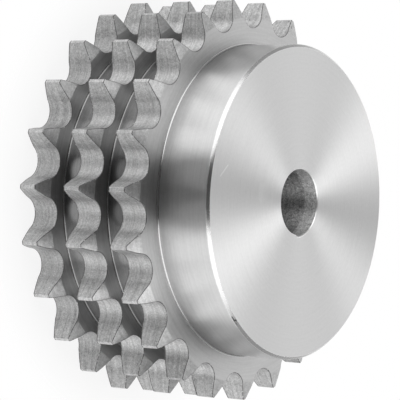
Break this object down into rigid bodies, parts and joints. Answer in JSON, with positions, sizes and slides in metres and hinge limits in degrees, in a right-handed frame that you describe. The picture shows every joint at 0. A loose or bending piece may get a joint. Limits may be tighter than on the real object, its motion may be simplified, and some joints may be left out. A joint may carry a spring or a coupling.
{
  "type": "triple-row roller chain sprocket",
  "caption": "One-piece steel sprocket for a triple-strand roller chain, with a plain hub on one side and a pilot bore.",
  "frame": {"origin": "centre of the bore in the flat face of the toothed end, which the part stands on", "axes": "+Z along the bore, from the toothed end to the hub's end; +X through the middle of one tooth"},
  "size_m": [0.1229, 0.1232, 0.06],
  "materials": {
    "machined_steel": "bare turned and hobbed steel, with fine tool marks round the axis"
  },
  "bodies": {
    "root": {"sprocket": "machined_steel"}
  },
  "joints": []
}
